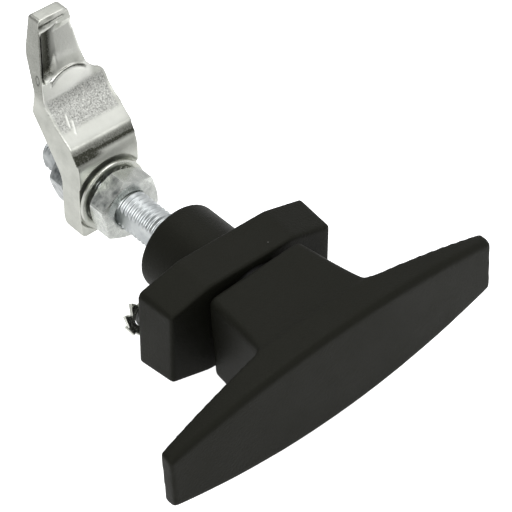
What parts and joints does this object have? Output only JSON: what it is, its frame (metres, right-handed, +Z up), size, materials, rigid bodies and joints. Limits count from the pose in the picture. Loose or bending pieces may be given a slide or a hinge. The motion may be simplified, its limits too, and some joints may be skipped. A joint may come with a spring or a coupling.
{
  "type": "compression latch",
  "caption": "T-handle compression latch: a quarter-turn handle in a flanged housing swings a cast cam that jam nuts set along a double-D screw shaft.",
  "frame": {"origin": "where the shaft axis meets the flange's back face, which seats on the door", "axes": "+Y along the shaft into the door, towards the cam; +X along the flange; +Z up, the way the cam points when latched"},
  "size_m": [0.0978, 0.104, 0.0631],
  "materials": {
    "black_powder_coat": "satin black powder coat, very fine texture",
    "zinc_casting": "investment-cast steel with bright zinc plating over a fine orange-peel skin",
    "zinc_nut": "bright zinc-plated steel",
    "zinc_shaft": "zinc-plated steel with rolled threads",
    "zinc_pressing": "zinc-plated stamped steel",
    "spring_steel": "oiled spring steel",
    "black_acetal": "turned black acetal",
    "black_rubber": "nitrile rubber"
  },
  "bodies": {
    "housing_body": {"housing": "black_powder_coat", "mounting_stud_left": "zinc_nut", "mounting_stud_right": "zinc_nut", "stud_washer_left": "zinc_pressing", "stud_washer_right": "zinc_pressing"},
    "handle_body": {"handle": "black_powder_coat", "handle_pin": "spring_steel", "shaft": "zinc_shaft", "thrust_washer": "black_acetal", "shaft_oring": "black_rubber", "disc_spring": "spring_steel", "stop_washer": "zinc_pressing", "retaining_ring": "spring_steel"},
    "cam_body": {"cam": "zinc_casting", "front_lock_washer": "zinc_pressing"},
    "front_nut_body": {"front_jam_nut": "zinc_nut"},
    "rear_nut_body": {"rear_jam_nut": "zinc_nut"}
  },
  "joints": [
    {"name": "handle_turn", "type": "hinge", "parent": "housing_body", "child": "handle_body", "pos_m": [0, 0, 0], "axis": [0, 1, 0], "range_deg": [0, 90]},
    {"name": "cam_grip_adjust", "type": "slide", "parent": "handle_body", "child": "cam_body", "axis": [0, 1, 0], "range_m": [-0.016, 0.007]},
    {"name": "front_nut_turn", "type": "hinge", "parent": "cam_body", "child": "front_nut_body", "pos_m": [0, 0, 0], "axis": [0, 1, 0], "range_deg": [-3850, 1690]},
    {"name": "rear_nut_turn", "type": "hinge", "parent": "cam_body", "child": "rear_nut_body", "pos_m": [0, 0, 0], "axis": [0, 1, 0], "range_deg": [-3850, 1690]}
  ],
  "couplings": [
    {"joint": "front_nut_turn", "follows": "cam_grip_adjust", "rad_per_m": 4188.8},
    {"joint": "rear_nut_turn", "follows": "cam_grip_adjust", "rad_per_m": 4188.8}
  ]
}
